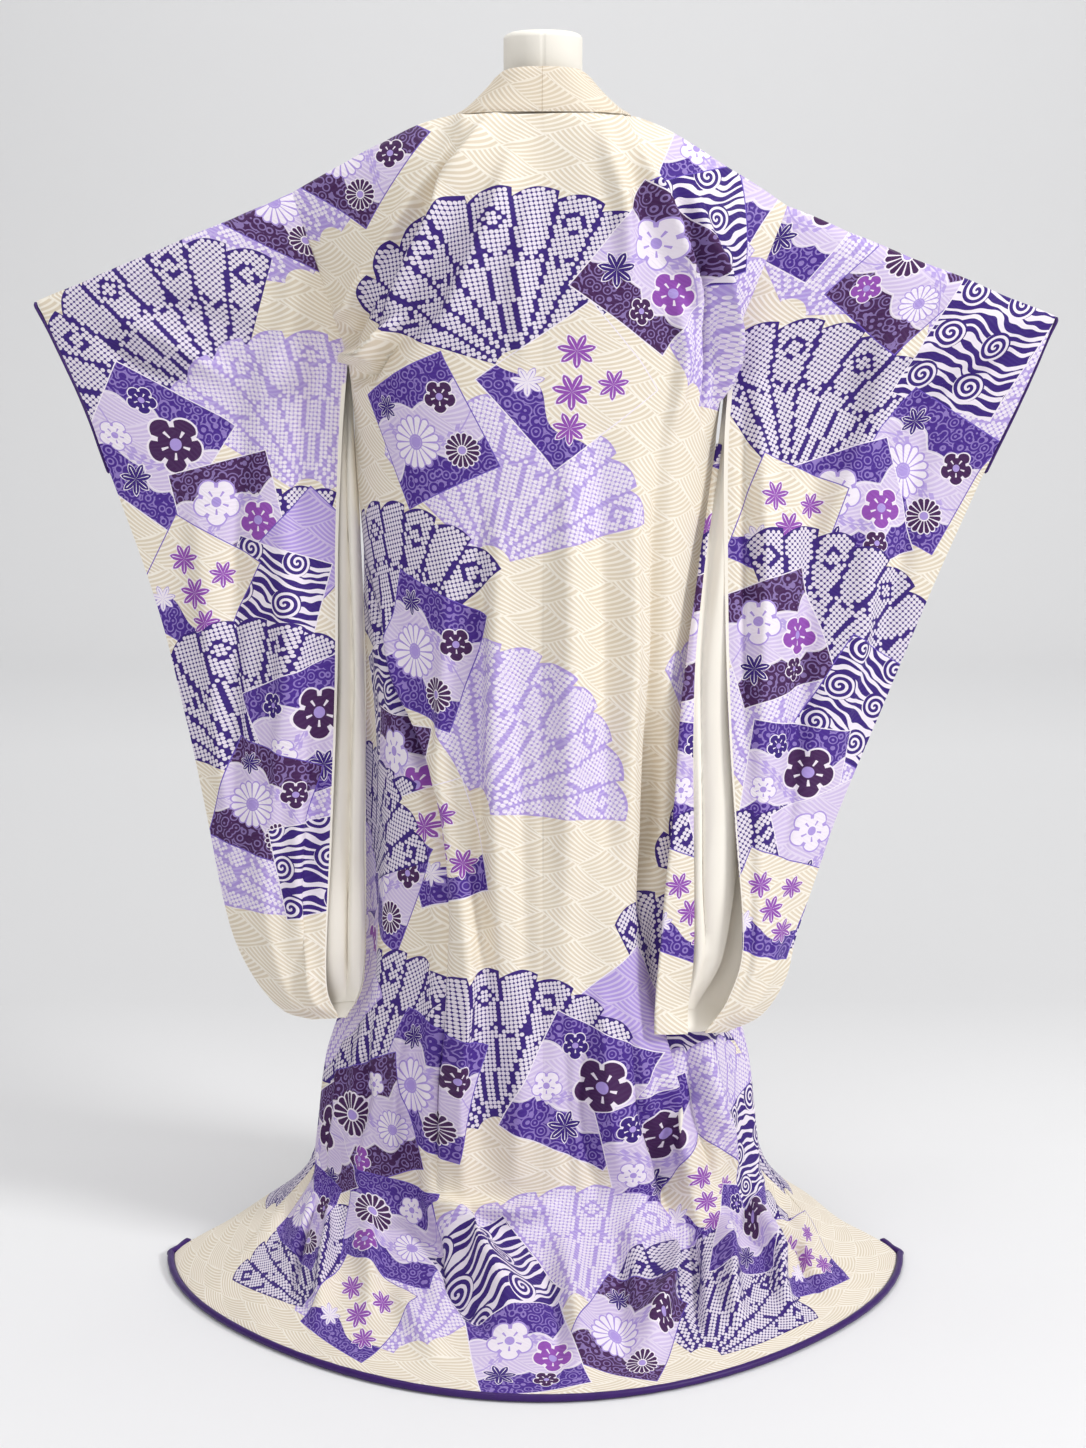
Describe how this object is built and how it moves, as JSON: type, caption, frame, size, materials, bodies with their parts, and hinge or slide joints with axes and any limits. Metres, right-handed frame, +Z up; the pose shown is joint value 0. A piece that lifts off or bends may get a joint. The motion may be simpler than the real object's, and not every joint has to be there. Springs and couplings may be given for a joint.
{
  "type": "furisode on a dress form",
  "caption": "Long-sleeved kimono of printed cream silk with a padded purple hem roll, spread open at the back on a limbless dress form.",
  "frame": {"origin": "on the floor, under the middle of the form's base", "axes": "+Z up, the back of the garment faces -Y, the wearer's left is -X"},
  "size_m": [1.2409, 0.7039, 1.489],
  "materials": {
    "printed_silk": "cream figured silk with a purple printed design",
    "figured_silk": "cream figured silk, woven in bundles of fine lines",
    "lining": "plain cream satin",
    "purple_roll": "deep purple satin over padding",
    "form_cloth": "tight cream jersey over a hard form",
    "form_metal": "matt grey paint"
  },
  "bodies": {
    "root": {"body_left": "printed_silk", "body_right": "printed_silk", "overlap_left": "printed_silk", "overlap_right": "printed_silk", "collar": "figured_silk", "sleeve_left": "printed_silk", "sleeve_right": "printed_silk", "sleeve_lining_left": "lining", "sleeve_lining_right": "lining", "cuff_roll_left": "purple_roll", "cuff_roll_right": "purple_roll", "hem_roll": "purple_roll", "form_neck": "form_cloth", "form_torso": "form_cloth", "form_pole": "form_metal", "form_base": "form_metal", "form_rod_left": "form_metal", "form_rod_right": "form_metal"}
  },
  "joints": []
}
